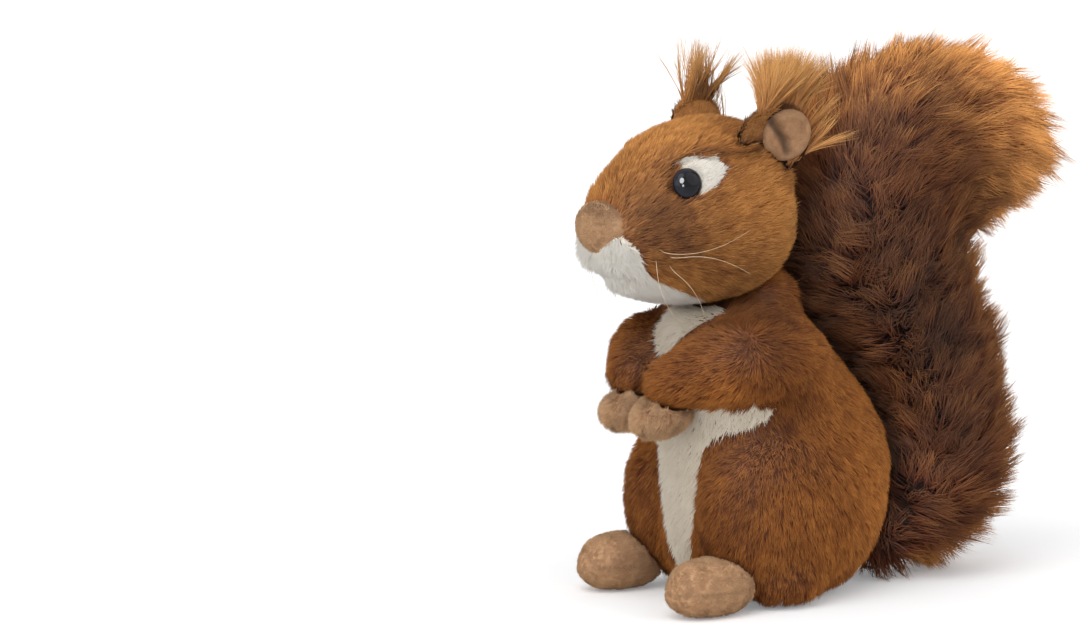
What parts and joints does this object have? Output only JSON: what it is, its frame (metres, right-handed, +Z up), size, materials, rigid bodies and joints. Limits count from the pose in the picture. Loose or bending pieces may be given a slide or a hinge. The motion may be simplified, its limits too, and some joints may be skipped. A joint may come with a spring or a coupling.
{
  "type": "plush squirrel",
  "caption": "Sitting plush squirrel with white muzzle and belly, safety eyes, tufted ears, velour paws and feet, and a high bushy tail of long pile.",
  "frame": {"origin": "on the flat seat under the body, at the middle of its width, between the hips", "axes": "+Z up, the squirrel faces -Y and its left side is +X"},
  "size_m": [0.093, 0.223, 0.2178],
  "materials": {
    "russet_plush": "short laid plush pile, golden brown to russet",
    "white_plush": "short white plush pile",
    "tan_velour": "short tan velour, matt",
    "tail_plush": "long shaggy pile, dark red-brown with lighter tips",
    "tuft_hair": "long loose pile, golden orange",
    "eye_plastic": "glossy black dome",
    "washer_plastic": "plain moulded washer",
    "whisker_thread": "fine pale thread"
  },
  "bodies": {
    "root": {"body": "russet_plush", "front_panel": "white_plush", "head": "russet_plush", "muzzle": "white_plush", "nose": "tan_velour", "eye_left": "eye_plastic", "eye_right": "eye_plastic", "eye_washer_left": "washer_plastic", "eye_washer_right": "washer_plastic", "eye_patch_left": "white_plush", "eye_patch_right": "white_plush", "ear_left": "russet_plush", "ear_right": "russet_plush", "ear_lining_left": "tan_velour", "ear_lining_right": "tan_velour", "ear_tuft_left": "tuft_hair", "ear_tuft_right": "tuft_hair", "arm_left": "russet_plush", "arm_right": "russet_plush", "paw_left": "tan_velour", "paw_right": "tan_velour", "haunch_left": "russet_plush", "haunch_right": "russet_plush", "foot_left": "tan_velour", "foot_right": "tan_velour", "tail": "tail_plush", "whisker_left_1": "whisker_thread", "whisker_left_2": "whisker_thread", "whisker_left_3": "whisker_thread", "whisker_left_4": "whisker_thread", "whisker_right_1": "whisker_thread", "whisker_right_2": "whisker_thread", "whisker_right_3": "whisker_thread", "whisker_right_4": "whisker_thread"}
  },
  "joints": []
}
